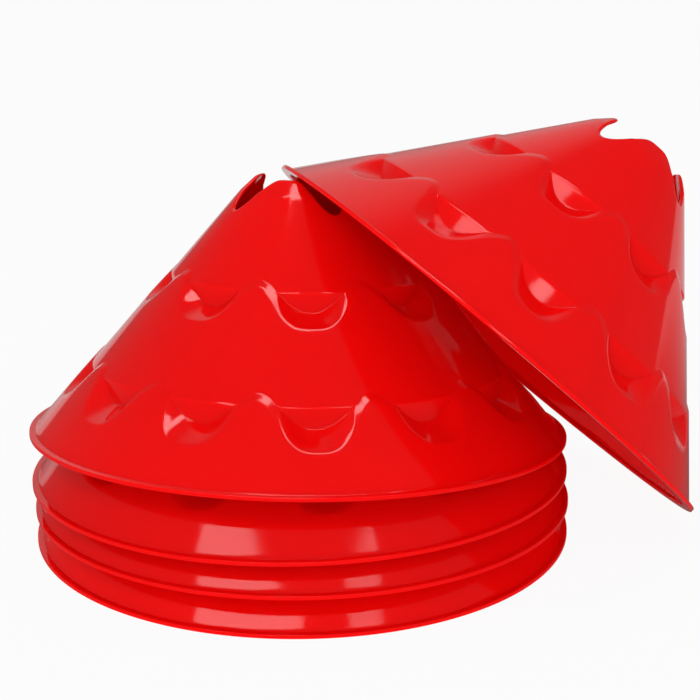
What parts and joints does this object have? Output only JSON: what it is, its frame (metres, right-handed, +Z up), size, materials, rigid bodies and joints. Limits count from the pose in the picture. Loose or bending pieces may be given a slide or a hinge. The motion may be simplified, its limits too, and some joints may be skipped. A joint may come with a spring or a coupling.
{
  "type": "sports marker cone",
  "caption": "Wide stepped marker cones of glossy red plastic with scalloped steps and an open lobed crown, nested in a stack, with one more leaning on it.",
  "frame": {"origin": "on the floor, under the middle of the whole set's box", "axes": "+Z up, +X from the stack towards the leaning cone, +Y away from the viewer of the picture"},
  "size_m": [0.3703, 0.3156, 0.2245],
  "materials": {
    "red_plastic": "glossy soft plastic, moulded"
  },
  "bodies": {
    "bottom_cone": {"bottom_cone": "red_plastic"},
    "lower_middle_cone": {"lower_middle_cone": "red_plastic"},
    "upper_middle_cone": {"upper_middle_cone": "red_plastic"},
    "top_cone": {"top_cone": "red_plastic"},
    "leaning_cone": {"leaning_cone": "red_plastic"}
  },
  "joints": [
    {"name": "second_lifts", "type": "slide", "parent": "bottom_cone", "child": "lower_middle_cone", "axis": [0, 0, 1], "range_m": [0, 0.16]},
    {"name": "third_lifts", "type": "slide", "parent": "lower_middle_cone", "child": "upper_middle_cone", "axis": [0, 0, 1], "range_m": [0, 0.16]},
    {"name": "top_lifts", "type": "slide", "parent": "upper_middle_cone", "child": "top_cone", "axis": [0, 0, 1], "range_m": [0, 0.16]},
    {"name": "leaning_comes_off", "type": "slide", "parent": "top_cone", "child": "leaning_cone", "axis": [0.6534, 0.2062, 0.7283], "range_m": [0, 0.18]}
  ]
}
